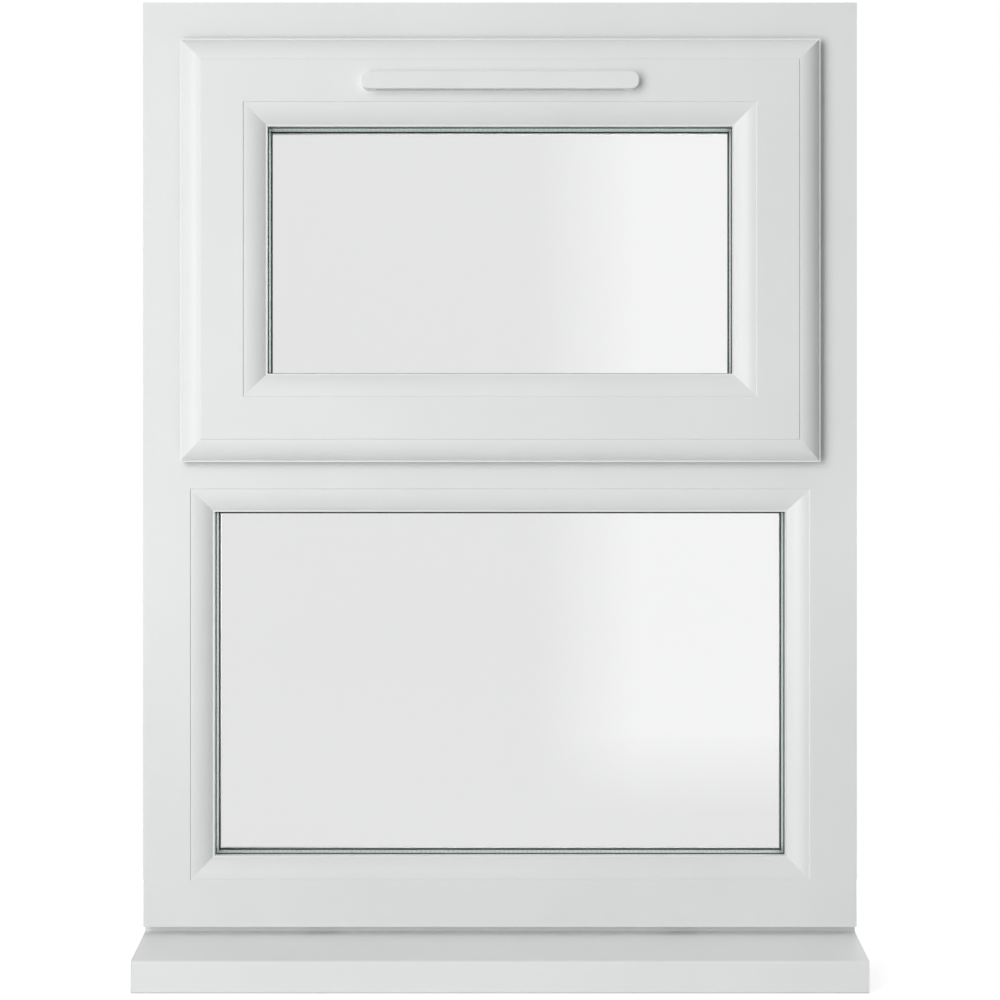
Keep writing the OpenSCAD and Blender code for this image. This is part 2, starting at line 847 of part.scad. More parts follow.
// The canopy's bevelled front, from cones at the corners and two bars between them
module canopy_front() {
    w = canopy_w / 2 - canopy_r;
    h = canopy_h / 2 - canopy_r;
    b = canopy_bevel;
    for (x = [-w, w])
        for (z = [-h, h])
            translate([x, z, 0]) cylinder(r1 = canopy_r, r2 = canopy_r - b, h = b);
    rotate([90, 0, 90])
        linear_extrude(2 * w, center = true)
            polygon([[-h - canopy_r, 0], [h + canopy_r, 0], [h + canopy_r - b, b], [b - h - canopy_r, b]]);
    rotate([90, 0, 0])
        linear_extrude(2 * h, center = true)
            polygon([[-w - canopy_r, 0], [w + canopy_r, 0], [w + canopy_r - b, b], [b - w - canopy_r, b]]);
}

// A hood over the slots, with a gap along its underside next to the sash
module vent_canopy() {
    color(upvc)
        translate([0, sash_face, vent_z])
            rotate([90, 0, 0])
                difference() {
                    union() {
                        linear_extrude(canopy_out - canopy_bevel) canopy_outline(0);
                        translate([0, 0, canopy_out - canopy_bevel]) canopy_front();
                    }
                    translate([0, 0, -cut])
                        linear_extrude(canopy_out + cut - vent_wall) canopy_outline(vent_wall);
                    translate([-canopy_w / 2 + 2 * canopy_r, -canopy_h, vent_wall])
                        cube([canopy_w - 4 * canopy_r, canopy_h - canopy_floor, canopy_gap]);
                }
}

module grille_slots(shift, y0, y1) {
    for (i = [0:grille_n - 1])
        translate([(i - (grille_n - 1) / 2) * grille_pitch + shift, (y0 + y1) / 2, vent_z])
            cube([grille_slot, y1 - y0, vent_slot_h], center = true);
}

// The body on the room side is a tray with a row of slots in its front
module vent_body() {
    front = sash_back + vent_body_t;
    inner_w = vent_body_w - 2 * vent_wall;
    inner_h = vent_body_h - 2 * vent_wall;
    slot_h = knob_w + 2 * knob_play;
    color(upvc)
        difference() {
            translate([-vent_body_w / 2, sash_back, vent_z - vent_body_h / 2])
                cube([vent_body_w, vent_body_t, vent_body_h]);
            translate([-inner_w / 2, sash_back - cut, vent_z - inner_h / 2])
                cube([inner_w, vent_body_t + cut - vent_wall, inner_h]);
            grille_slots(0, front - 2 * vent_wall, front + cut);
            translate([knob_x - knob_w / 2 - 2 * knob_play, front - 2 * vent_wall, vent_z - slot_h / 2])
                cube([knob_w + shutter_travel + 4 * knob_play, 3 * vent_wall, slot_h]);
        }
}

// The shutter slides behind the slots, and its knob stands out through a slot of its own
module vent_shutter() {
    front = sash_back + vent_body_t - vent_wall - slide_clear;
    w = vent_body_w - 2 * vent_wall - shutter_travel - 4 * knob_play;
    h = vent_body_h - 2 * vent_wall - 2 * slide_clear;
    color(upvc) {
        difference() {
            translate([-w / 2 - shutter_travel / 2, front - shutter_t, vent_z - h / 2])
                cube([w, shutter_t, h]);
            grille_slots(-shutter_travel, front - 2 * shutter_t, front + cut);
        }
        translate([knob_x - knob_w / 2, front - shutter_t / 2, vent_z - knob_w / 2])
            cube([knob_w, shutter_t / 2 + slide_clear + vent_wall + knob_out, knob_w]);
    }
}

// Lock

module espag_faceplate() {
    color(steel)
        translate([0, 0, sash_z0 + stem_in])
            difference() {
                translate([-lock_l / 2, groove_y[0] + slide_clear, 0])
                    cube([lock_l, groove_w - 2 * slide_clear, plate_t]);
                for (x = [-1, 1]) {
                    translate([x * cam_x - cam_r, groove_mid - cam_r / 2 - cam_clear, -cut])
                        cube([2 * cam_r + drive_travel, cam_r + 2 * cam_clear, plate_t + 2 * cut]);
                    translate([x * lock_screw_x, groove_mid, 0])
                        sunk_hole(plate_t, screw_head_r, false);
                }
            }
}

// Straight flanked rack about its pitch line, with one tooth under the spindle at rest
module rack_outline(depth) {
    pitch = PI * module_size;
    lean = tan(pressure_angle);
    half = pitch / 4 - backlash / 4;
    first = -ceil(drive_travel / pitch) - 1;
    last = 1;
    polygon(concat(
        [[(first - 0.5) * pitch, -depth], [(first - 0.5) * pitch, -dedendum]],
        [
            for (i = [first:last])
                each [
                    [i * pitch - half - dedendum * lean, -dedendum],
                    [i * pitch - half + addendum * lean, addendum],
                    [i * pitch + half - addendum * lean, addendum],
                    [i * pitch + half + dedendum * lean, -dedendum]
                ]
        ],
        [[(last + 0.5) * pitch, -dedendum], [(last + 0.5) * pitch, -depth]]
    ));
}

// The bar's rack sits under the pinion at both ends of the travel, and slots clear the plate's screws
module espag_drive_bar() {
    rack_z = spindle_in - pitch_r;
    slot = screw_r + cam_clear;
    color(steel) {
        difference() {
            translate([-lock_l / 2 + drive_travel, groove_mid - bar_w / 2, sash_z0 + bar_in])
                cube([lock_l - 2 * drive_travel, bar_w, bar_t]);
            for (x = [-1, 1])
                translate([x * lock_screw_x - drive_travel - slot, groove_mid - slot, sash_z0 + bar_in - cut])
                    cube([drive_travel + 2 * slot, 2 * slot, bar_t + 2 * cut]);
        }
        translate([0, groove_mid + pinion_t / 2, sash_z0 + rack_z])
            rotate([90, 0, 0])
                linear_extrude(pinion_t)
                    rack_outline(rack_z - bar_in);
    }
}

module lock_cams() {
    color(steel)
        for (x = [-1, 1])
            translate([x * cam_x, groove_mid, sash_z0 + stem_in - cam_drop]) {
                cylinder(r = cam_r, h = cam_head);
                cylinder(r = cam_r / 2, h = cam_drop + plate_t + slide_clear);
            }
}

// Each keep is a plate with a lip that stands in front of its cam when the bar is driven
module lock_keeps() {
    l = 2 * cam_r + drive_travel + keep_over + keep_tail;
    w = keep_wall_t + 2 * cam_r + keep_back;
    color(steel)
        for (x = [-1, 1])
            translate([x * cam_x, groove_mid - cam_r - cam_clear - keep_wall_t, upper_z0]) {
                difference() {
                    translate([-cam_r - keep_over, 0, 0]) cube([l, w, keep_base_t]);
                    for (end = [keep_screw_in, l - keep_screw_in])
                        translate([end - cam_r - keep_over, (w + keep_wall_t) / 2, 0])
                            sunk_hole(keep_base_t, keep_head_r, true);
                }
                translate([cam_r + keep_lead, 0, 0])
                    cube([drive_travel + keep_over - cut, keep_wall_t, keep_h]);
            }
}

// A toothed sector on a hub: one space points down at rest, over the rack's tooth
module gearbox_pinion() {
    step = 360 / teeth;
    base_r = pitch_r * cos(pressure_angle);
    tip_r = pitch_r + addendum;
    root_r = pitch_r - dedendum;
    tip_roll = sqrt(pow(tip_r / base_r, 2) - 1) * 180 / PI;
    pitch_roll = tan(pressure_angle) * 180 / PI;
    half = quarter_turn / teeth - backlash / pitch_r * quarter_turn / (2 * PI) + pitch_roll - pressure_angle;
    flank = [for (i = [0:6]) involute(base_r, tip_roll * i / 6)];
    outline = [
        for (t = [0:teeth - 1])
            let (mid = (t + 0.5) * step - quarter_turn)
            each concat(
                [turned([root_r, 0], mid - half)],
                [for (p = flank) turned(p, mid - half)],
                [for (i = [6:-1:0]) turned([flank[i][0], -flank[i][1]], mid + half)],
                [turned([root_r, 0], mid + half)]
            )
    ];
    color(steel)
        translate([0, groove_mid + pinion_t / 2, spindle_z])
            rotate([90, 0, 0])
                linear_extrude(pinion_t)
                    difference() {
                        intersection() {
                            polygon(outline);
                            union() {
                                circle(r = hub_r);
                                polygon([
                                    [0, 0],
                                    for (k = [-5:2:1]) turned([2 * tip_r, 0], k * step - quarter_turn)
                                ]);
                            }
                        }
                        square(spindle_w, center = true);
                    }
}

// Two cheeks round the sector, open towards the rack, with ears that sit across the pocket's ends
module gearbox_case() {
    inner_r = pitch_r + addendum + case_clear;
    w = 2 * (inner_r + case_wall);
    inside = [groove_mid - pinion_t / 2 - case_clear, groove_mid + pinion_t / 2 + case_clear];
    color(steel)
        difference() {
            union() {
                translate([-w / 2, groove_y[0] + case_clear, sash_z0 + chamber_in])
                    cube([w, groove_w - 2 * case_clear, case_top - chamber_in]);
                translate([-pocket_l / 2 - ear_l, groove_y[0] + case_clear, sash_z0 + chamber_in])
                    cube([pocket_l + 2 * ear_l, groove_w - 2 * case_clear, ear_t]);
            }
            translate([0, 0, spindle_z])
                along_y(inner_r, inside[0], inside[1]);
            translate([-pocket_l, inside[0], sash_z0])
                cube([2 * pocket_l, inside[1] - inside[0], spindle_in - pitch_r + addendum + case_clear]);
            translate([0, 0, spindle_z])
                along_y(case_bore, groove_y[0], groove_y[1]);
        }
}

module spindle() {
    l = sash_back + handle_base_t + spindle_end - groove_mid + pinion_t / 2;
    color(steel)
        translate([-spindle_w / 2, groove_mid - pinion_t / 2, spindle_z - spindle_w / 2])
            cube([spindle_w, l, spindle_w]);
}

// A long plate with round ends and a crowned face, and a bore for the neck of the lever
module handle_base() {
    r = handle_base_w / 2;
    color(upvc)
        translate([0, sash_back, spindle_z])
            difference() {
                intersection() {
                    union() {
                        translate([-r, 0, -r]) cube([handle_base_l, handle_base_t, 2 * r]);
                        for (x = [-r, handle_base_l - r])
                            translate([x, 0, 0]) along_y(r, 0, handle_base_t);
                    }
                    translate([0, handle_base_t - base_crown_r, 0])
                        along_x(base_crown_r, -lever_l, lever_l);
                }
                along_y(neck_r + rivet_clear, -cut, handle_base_t + cut);
            }
}

// Outline of the lever as [x, z]: a boss over the spindle, a waist and a round end
module lever_outline() {
    r = lever_w / 2;
    end = lever_l - r;
    circle(r = lever_boss_r);
    polygon([
        [0, -r], [lever_waist_x, -lever_waist / 2], [end, lever_step - r],
        [end, r - lever_step], [lever_waist_x, lever_waist / 2], [0, r]
    ]);
    translate([end, 0]) circle(r = r);
}

// The lever turns on its neck and lies along the rail at rest, with its face leaning in to the end
module handle_lever() {
    color(upvc)
        translate([0, sash_back, spindle_z])
            difference() {
                union() {
                    along_y(neck_r, cut, lever_y + lever_t / 2);
                    intersection() {
                        translate([0, lever_y + lever_t, 0])
                            rotate([90, 0, 0])
                                linear_extrude(lever_t) lever_outline();
                        translate([0, lever_y + lever_t - lever_crown_r, 0])
                            rotate([0, 0, -lever_lean])
                                along_x(lever_crown_r, -lever_l, 2 * lever_l);
                    }
                }
                translate([-spindle_w / 2, 0, -spindle_w / 2])
                    cube([spindle_w, handle_base_t + spindle_end + spindle_play, spindle_w]);
            }
}

frame_head();
frame_jamb_left();
frame_jamb_right();
frame_bottom_rail();
transom();
cill();
cill_end_caps();
lower_outer_pane();
lower_inner_pane();
lower_spacer_bar();
lower_bead_top();
lower_bead_bottom();
lower_bead_left();
lower_bead_right();
lower_bead_gasket();
lower_inner_gasket();
lower_glazing_packers();
frame_weatherseal();
stay_track_left();
stay_track_right();
frame_stay_rivets();
lock_keeps();
sash_top_rail();
sash_bottom_rail();
sash_stile_left();
sash_stile_right();
upper_outer_pane();
upper_inner_pane();
upper_spacer_bar();
upper_bead_top();
upper_bead_bottom();
upper_bead_left();
upper_bead_right();
upper_bead_gasket();
upper_inner_gasket();
upper_glazing_packers();
sash_weatherseal();
sash_bar_left();
sash_bar_right();
sash_stay_rivets();
upper_arm_left();
upper_arm_right();
lower_arm_left();
lower_arm_right();
vent_canopy();
vent_body();
vent_shutter();
espag_faceplate();
gearbox_case();
espag_drive_bar();
lock_cams();
gearbox_pinion();
spindle();
handle_base();
handle_lever();
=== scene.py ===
import math

import bmesh
import bpy
from mathutils import Matrix, Vector


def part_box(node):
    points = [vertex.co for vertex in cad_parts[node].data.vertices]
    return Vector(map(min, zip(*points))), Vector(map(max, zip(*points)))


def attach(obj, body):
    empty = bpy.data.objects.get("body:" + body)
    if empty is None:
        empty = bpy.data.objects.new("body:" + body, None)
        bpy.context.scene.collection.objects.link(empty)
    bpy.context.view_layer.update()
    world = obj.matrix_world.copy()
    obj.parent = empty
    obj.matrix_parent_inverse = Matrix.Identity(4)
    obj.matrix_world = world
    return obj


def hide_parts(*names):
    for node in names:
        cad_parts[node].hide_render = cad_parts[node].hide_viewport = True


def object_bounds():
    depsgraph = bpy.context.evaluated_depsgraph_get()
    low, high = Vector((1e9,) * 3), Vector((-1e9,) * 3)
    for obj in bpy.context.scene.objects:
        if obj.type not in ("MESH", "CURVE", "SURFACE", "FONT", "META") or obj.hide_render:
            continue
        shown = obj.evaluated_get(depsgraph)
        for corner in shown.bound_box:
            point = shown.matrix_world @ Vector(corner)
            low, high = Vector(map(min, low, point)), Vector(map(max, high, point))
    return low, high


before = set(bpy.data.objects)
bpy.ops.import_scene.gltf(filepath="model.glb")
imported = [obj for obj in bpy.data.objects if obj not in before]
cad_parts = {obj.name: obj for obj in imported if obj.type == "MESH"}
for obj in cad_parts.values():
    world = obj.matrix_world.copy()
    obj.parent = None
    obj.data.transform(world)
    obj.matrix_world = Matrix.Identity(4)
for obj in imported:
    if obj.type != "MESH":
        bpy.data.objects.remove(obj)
solid_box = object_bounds()

# The outer frame: four mitred bars and a transom of white extruded uPVC, with several chambers inside.
# The bars are welded at their corners, and the welds are cleaned off flush with the faces.
# Faint die lines run along each bar, as the extruder leaves them.


def new_finish(name):
    finish = bpy.data.materials.new(name)
    finish.use_nodes = True
    tree = finish.node_tree
    tree.nodes.clear()
    shader = tree.nodes.new("ShaderNodeBsdfPrincipled")
    out = tree.nodes.new("ShaderNodeOutputMaterial")
    tree.links.new(shader.outputs["BSDF"], out.inputs["Surface"])
    return finish, tree, shader


def add(tree, kind, settings=None, **inputs):
    """Adds a node. An input named _0, _1 and so on is given by its number."""
    made = tree.nodes.new("ShaderNode" + kind)
    for key, value in (settings or {}).items():
        setattr(made, key, value)
    for key, value in inputs.items():
        socket = made.inputs[int(key[1:])] if key[0] == "_" else made.inputs[key]
        if isinstance(value, bpy.types.NodeSocket):
            tree.links.new(value, socket)
        else:
            socket.default_value = value
    return made


def maths(tree, operation, a, b=0.0):
    return add(tree, "Math", {"operation": operation}, _0=a, _1=b).outputs[0]


def tones(tree, amount, dark, light, low=0.3, high=0.7):
    ramp = add(tree, "ValToRGB", Fac=amount)
    ramp.color_ramp.elements[0].position = low
    ramp.color_ramp.elements[1].position = high
    ramp.color_ramp.elements[0].color = (*dark, 1.0)
    ramp.color_ramp.elements[1].color = (*light, 1.0)
    return ramp.outputs["Color"]


def levels(tree, amount, low, high, start=0.3, end=0.7):
    made = add(tree, "MapRange", Value=amount)
    for socket, value in zip(made.inputs[1:5], (start, end, low, high)):
        socket.default_value = value
    return made.outputs["Result"]


def stretched(tree, place, scale):
    return add(tree, "Mapping", Vector=place, Scale=scale).outputs["Vector"]


def noise(tree, place, scale, detail=3.0, roughness=0.5):
    made = add(tree, "TexNoise", Vector=place, Scale=scale, Detail=detail, Roughness=roughness)
    return made.outputs["Fac"]


def relief(tree, shader, height, strength, distance):
    bump = add(tree, "Bump", Height=height, Strength=strength, Distance=distance)
    tree.links.new(bump.outputs["Normal"], shader.inputs["Normal"])


def white_upvc(name, along, dark, light):
    finish, tree, shader = new_finish(name)
    place = add(tree, "TexCoord").outputs["Object"]
    across_scale, along_scale = 900.0, 5.0
    run = [across_scale] * 3
    run[along] = along_scale
    die_lines = noise(tree, stretched(tree, place, run), 1.0, 4.0)
    cloud = noise(tree, place, 7.0, 4.0)
    grain = noise(tree, place, 1400.0, 2.0)
    grain_share = 0.4
    height = maths(tree, "MULTIPLY_ADD", grain, grain_share)
    tree.links.new(die_lines, height.node.inputs[2])
    tree.links.new(tones(tree, cloud, dark, light), shader.inputs["Base Color"])
    tree.links.new(levels(tree, die_lines, 0.36, 0.48), shader.inputs["Roughness"])
    relief(tree, shader, height, 0.12, 0.00025)
    shader.inputs["IOR"].default_value = 1.47
    return finish


def dress(finish, *names):
    for name in names:
        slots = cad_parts[name].data.materials
        slots.clear()
        slots.append(finish)


upvc_tones = (0.735, 0.750, 0.742), (0.771, 0.786, 0.778)
upvc_across = white_upvc("white_upvc_across", 0, *upvc_tones)
upvc_upright = white_upvc("white_upvc_upright", 2, *upvc_tones)
dress(upvc_across, "frame_head", "frame_bottom_rail", "transom")
dress(upvc_upright, "frame_jamb_left", "frame_jamb_right")

# The cill: one uPVC extrusion with a sloping top and a drip nose, bedded under the frame.
# Its open ends are closed by thin moulded caps, glued on, with a duller face than the extrusion.


def grained_white(name, colours, cloud_scale, grain_scale, dullness, strength, distance, coat=0.0):
    finish, tree, shader = new_finish(name)
    place = add(tree, "TexCoord").outputs["Object"]
    grain = noise(tree, place, grain_scale, 2.0)
    tree.links.new(tones(tree, noise(tree, place, cloud_scale), *colours), shader.inputs["Base Color"])
    tree.links.new(levels(tree, grain, *dullness), shader.inputs["Roughness"])
    relief(tree, shader, grain, strength, distance)
    shader.inputs["Coat Weight"].default_value = coat
    return finish


# The caps are painted lighter than the frame's uPVC, as the cill is: painted light, the same as on the cill.
cap_painted_light_tones = (0.797, 0.809, 0.803), (0.830, 0.841, 0.836)
cap_painted_light_plastic = grained_white("cill_cap_plastic_painted_light", cap_painted_light_tones, cloud_scale=30.0, grain_scale=900.0,
                            dullness=(0.40, 0.52), strength=0.15, distance=0.0002)
# The cill's white is painted lighter than the frame's uPVC: painted light, standing in for the extra light
# its upward slope catches.
cill_painted_light_tones = (0.811, 0.823, 0.817), (0.840, 0.851, 0.845)
cill_painted_light_upvc = white_upvc("white_upvc_cill_painted_light", 0, *cill_painted_light_tones)
dress(cill_painted_light_upvc, "cill")
dress(cap_painted_light_plastic, "cill_end_caps")

# The double glazed units: two panes of float glass in each light, held apart by a spacer bar.
# The panes are very slightly wavy, as float glass is, and they let the lamps' light through.
# A coating takes most of the mirror image off them, and one against heat loss tints the inner ones.
pane_passes = 0.84, 0.86, 0.85
pane_mirrors = 0.12


def float_glass(name, tint):
    finish, tree, shader = new_finish(name)
    place = add(tree, "TexCoord").outputs["Object"]
    wave = noise(tree, stretched(tree, place, (1.0, 1.0, 2.2)), 2.4, 1.0)
    relief(tree, shader, wave, 0.03, 0.002)
    wave_dark = 0.995
    tree.links.new(tones(tree, wave, [wave_dark * c for c in tint], tint), shader.inputs["Base Color"])
    shader.inputs["Transmission Weight"].default_value = 1.0
    shader.inputs["Roughness"].default_value = 0.0
    shader.inputs["IOR"].default_value = 1.52
    shader.inputs["Specular Tint"].default_value = (pane_mirrors, pane_mirrors, pane_mirrors, 1.0)
    passing = add(tree, "BsdfTransparent", Color=(*pane_passes, 1.0))
    surface = add(tree, "MixShader", Fac=add(tree, "LightPath").outputs["Is Shadow Ray"])
    tree.links.new(shader.outputs[0], surface.inputs[1])
    tree.links.new(passing.outputs[0], surface.inputs[2])
    out = next(node for node in tree.nodes if node.bl_idname == "ShaderNodeOutputMaterial")
    tree.links.new(surface.outputs[0], out.inputs["Surface"])
    return finish


clear_pane = float_glass("clear_float_glass", (0.885, 0.886, 0.886))
coated_pane = float_glass("coated_float_glass", (0.880, 0.881, 0.882))
dress(clear_pane, "lower_outer_pane", "upper_outer_pane")
dress(coated_pane, "lower_inner_pane", "upper_inner_pane")

# The spacer bars: a hollow aluminium strip bent round the edge of each unit and filled with drying beads.
# It is rolled bright, with a shallow channel along its face.
# A row of fine slits lets the beads reach the air between the panes.
spacer_aluminium, tree, shader = new_finish("spacer_aluminium")
place = add(tree, "TexCoord").outputs["Object"]
axes = add(tree, "SeparateXYZ", Vector=place).outputs
spacer_tones, slit_tone = ((0.50, 0.60, 0.56), (0.60, 0.70, 0.66)), (0.3, 0.32, 0.32)
slit_pitch, slit_half, slit_edge, slit_shade = 0.004, 0.18, 0.24, 0.2
run = maths(tree, "ADD", axes["X"], axes["Z"])
row = maths(tree, "FRACT", maths(tree, "DIVIDE", run, slit_pitch))
from_slit = maths(tree, "ABSOLUTE", maths(tree, "SUBTRACT", row, 0.5))
slit = levels(tree, from_slit, slit_shade, 0.0, slit_half, slit_edge)
rolled = noise(tree, stretched(tree, place, (40.0, 1500.0, 40.0)), 1.0)
colour = add(tree, "MixRGB", {"blend_type": "MULTIPLY"}, Fac=slit)
tree.links.new(tones(tree, rolled, *spacer_tones), colour.inputs[1])
colour.inputs[2].default_value = (*slit_tone, 1.0)
tree.links.new(colour.outputs[0], shader.inputs["Base Color"])
tree.links.new(levels(tree, rolled, 0.28, 0.40), shader.inputs["Roughness"])
shader.inputs["Metallic"].default_value = 0.6
relief(tree, shader, rolled, 0.1, 0.0002)


def new_piece(name, shape, finish):
    mesh = bpy.data.meshes.new(name)
    shape.to_mesh(mesh)
    shape.free()
    mesh.materials.append(finish)
    piece = bpy.data.objects.new(name, mesh)
    bpy.context.scene.collection.objects.link(piece)
    return piece


bar_h, bar_shoulder = 0.0115, 0.0006
bar_skirt_h, bar_skirt_w = 0.003, 0.004
channel_edge, channel_slope, channel_deep = 0.0065, 0.0005, 0.0003
for light, body in (("lower", "frame"), ("upper", "sash")):
    low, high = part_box(light + "_spacer_bar")
    gap_w = high[1] - low[1]
    half_section = [(bar_skirt_w, 0.0), (0.0, bar_skirt_h), (0.0, bar_h - bar_shoulder),
                    (bar_shoulder, bar_h), (channel_edge, bar_h),
                    (channel_edge + channel_slope, bar_h - channel_deep)]
    section = half_section + [(gap_w - depth, inset) for depth, inset in reversed(half_section)]
    shape = bmesh.new()
    loops = []
    for depth, inset in section:
        left, right = low[0] + inset, high[0] - inset
        foot, head = low[2] + inset, high[2] - inset
        corners = (left, foot), (right, foot), (right, head), (left, head)
        loops.append([shape.verts.new((x, low[1] + depth, z)) for x, z in corners])
    for one, other in zip(loops, loops[1:] + loops[:1]):
        for i in range(4):
            shape.faces.new((one[i], one[(i + 1) % 4], other[(i + 1) % 4], other[i]))
    bmesh.ops.recalc_face_normals(shape, faces=shape.faces)
    tube = new_piece(light + "_spacer_tube", shape, spacer_aluminium)
    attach(tube, body)
    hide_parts(light + "_spacer_bar")

# The packers: small moulded plastic blocks under and beside each unit, which keep it square in its rebate.
# They are pushed in by hand and held by the weight of the glass.
packer_finish, tree, shader = new_finish("packer_plastic")
place = add(tree, "TexCoord").outputs["Object"]
ribs = noise(tree, stretched(tree, place, (60.0, 700.0, 60.0)), 1.0)
tree.links.new(tones(tree, ribs, (0.045, 0.11, 0.26), (0.075, 0.16, 0.36)), shader.inputs["Base Color"])
tree.links.new(levels(tree, ribs, 0.42, 0.6), shader.inputs["Roughness"])
relief(tree, shader, ribs, 0.3, 0.0004)
dress(packer_finish, "lower_glazing_packers", "upper_glazing_packers")

# The gaskets and weather seals: black rubber strips, pushed into grooves in the bars and the beads.
# The ones on the room side of the glass have a pale grey lip, run out of the die with the black part.


def gasket_rubber(name):
    finish, tree, shader = new_finish(name)
    place = add(tree, "TexCoord").outputs["Object"]
    grain = noise(tree, place, 2200.0, 3.0)
    bloom = noise(tree, place, 40.0, 4.0)
    black = tones(tree, bloom, (0.008, 0.009, 0.009), (0.016, 0.018, 0.017))
    tree.links.new(black, shader.inputs["Base Color"])
    tree.links.new(levels(tree, bloom, 0.60, 0.80), shader.inputs["Roughness"])
    relief(tree, shader, grain, 0.25, 0.0002)
    return finish, tree, shader, place, bloom, black


black_rubber = gasket_rubber("black_rubber")[0]
dress(black_rubber, "lower_bead_gasket", "upper_bead_gasket", "frame_weatherseal", "sash_weatherseal")
lip_from, lip_tones = 0.0149, ((0.46, 0.47, 0.465), (0.52, 0.53, 0.525))
for light in ("lower", "upper"):
    strip = light + "_inner_gasket"
    finish, tree, shader, place, bloom, black = gasket_rubber(strip + "_rubber")
    low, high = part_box(strip)
    axes = add(tree, "SeparateXYZ", Vector=place).outputs
    from_left = maths(tree, "SUBTRACT", axes["X"], low[0])
    from_right = maths(tree, "SUBTRACT", high[0], axes["X"])
    from_foot = maths(tree, "SUBTRACT", axes["Z"], low[2])
    from_head = maths(tree, "SUBTRACT", high[2], axes["Z"])
    from_side = maths(tree, "MINIMUM", from_left, from_right)
    from_end = maths(tree, "MINIMUM", from_foot, from_head)
    lip = maths(tree, "GREATER_THAN", maths(tree, "MINIMUM", from_side, from_end), lip_from)
    colour = add(tree, "MixRGB", Fac=lip)
    tree.links.new(black, colour.inputs[1])
    tree.links.new(tones(tree, bloom, *lip_tones), colour.inputs[2])
    tree.links.new(colour.outputs[0], shader.inputs["Base Color"])
    dress(finish, strip)

# The glazing beads: mitred uPVC strips that clip into the bars from outside and hold the glass.
# They are cut, not welded, so a fine joint is left across each corner.
for light in ("lower", "upper"):
    dress(upvc_across, light + "_bead_top", light + "_bead_bottom")
    dress(upvc_upright, light + "_bead_left", light + "_bead_right")

# The sash: four mitred uPVC bars, welded and cleaned off as the frame's are.
# Each bar has a Z section, so that its outer flange laps the frame and its inner one carries the glass.
dress(upvc_across, "sash_top_rail", "sash_bottom_rail")
dress(upvc_upright, "sash_stile_left", "sash_stile_right")

# The friction stays: stainless strips, stacked in the gap at each side of the sash.
# A track is screwed to the jamb and a bar to the sash, and two riveted arms join them.


def brushed_steel(name, along, dark, light):
    finish, tree, shader = new_finish(name)
    place = add(tree, "TexCoord").outputs["Object"]
    across_scale, along_scale = 1300.0, 18.0
    run = [across_scale] * 3
    run[along] = along_scale
    brush = noise(tree, stretched(tree, place, run), 1.0, 5.0)
    smear = noise(tree, place, 25.0, 3.0)
    tree.links.new(tones(tree, brush, dark, light, 0.25, 0.75), shader.inputs["Base Color"])
    tree.links.new(levels(tree, smear, 0.24, 0.40), shader.inputs["Roughness"])
    relief(tree, shader, brush, 0.12, 0.0002)
    shader.inputs["Metallic"].default_value = 1.0
    return finish


stay_steel = brushed_steel("stay_stainless_steel", 2, (0.50, 0.51, 0.52), (0.66, 0.67, 0.68))
dress(stay_steel, "stay_track_left", "stay_track_right", "sash_bar_left", "sash_bar_right",
      "upper_arm_left", "upper_arm_right", "lower_arm_left", "lower_arm_right")
rivet_steel = brushed_steel("rivet_steel", 0, (0.46, 0.46, 0.47), (0.60, 0.60, 0.61))
dress(rivet_steel, "frame_stay_rivets", "sash_stay_rivets")

# The countersunk screws: plated steel, with a cone under the head, a cross recess in it and a pointed shank.
# They are driven into the bars until the heads are flush in the strips that they hold.
screw_steel = brushed_steel("screw_steel", 1, (0.54, 0.55, 0.56), (0.70, 0.71, 0.72))


def one_screw(head_r, cone, length):
    sides = 32
    shank_r = 0.00188
    face_drop, rim_drop = 0.00003, 0.00015
    point_from = 0.7 * length
    arm, half = 0.60 * head_r, 0.16 * head_r
    recess_taper, recess_deep = 0.75, 0.55 * cone
    cross = [(arm, -half), (arm, half), (half, half), (half, arm), (-half, arm), (-half, half),
             (-arm, half), (-arm, -half), (-half, -half), (-half, -arm), (half, -arm), (half, -half)]
    shape = bmesh.new()

    def outline(points, depth):
        return [shape.verts.new((x, y, -depth)) for x, y in points]

    def circle(r, depth):
        turns = [2.0 * math.pi * i / sides for i in range(sides)]
        return outline([(r * math.cos(t), r * math.sin(t)) for t in turns], depth)

    def band(upper, lower):
        for i in range(len(upper)):
            shape.faces.new((upper[i - 1], lower[i - 1], lower[i], upper[i]))

    def edges(points):
        return [shape.edges.new((points[i - 1], points[i])) for i in range(len(points))]

    rim = circle(head_r, face_drop)
    mouth = outline(cross, face_drop)
    bmesh.ops.triangle_fill(shape, edges=edges(rim) + edges(mouth), use_beauty=True)
    rings = [rim, circle(head_r, rim_drop), circle(shank_r, cone), circle(shank_r, point_from)]
    for upper, lower in zip(rings, rings[1:]):
        band(upper, lower)
    tip = shape.verts.new((0.0, 0.0, -length))
    for i in range(sides):
        shape.faces.new((rings[-1][i - 1], tip, rings[-1][i]))
    recess_floor = outline([(recess_taper * x, recess_taper * y) for x, y in cross], recess_deep)
    band(mouth, recess_floor)
    shape.faces.new(recess_floor)
    bmesh.ops.recalc_face_normals(shape, faces=shape.faces)
    mesh = bpy.data.meshes.new("screw")
    shape.to_mesh(mesh)
    shape.free()
    return mesh


def screws(name, body, mesh, seats):
    shape = bmesh.new()
    turn_step = 0.7
    for turn, (place, facing) in enumerate(seats):
        shape.from_mesh(mesh)
        shape.verts.ensure_lookup_table()
        lie = Vector(facing).to_track_quat("Z", "Y").to_matrix().to_4x4()
        spin = Matrix.Rotation(turn_step * turn, 4, "Z")
        bmesh.ops.transform(shape, matrix=Matrix.Translation(place) @ lie @ spin,
                            verts=shape.verts[-len(mesh.vertices):])
    piece = new_piece(name, shape, screw_steel)
    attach(piece, body)


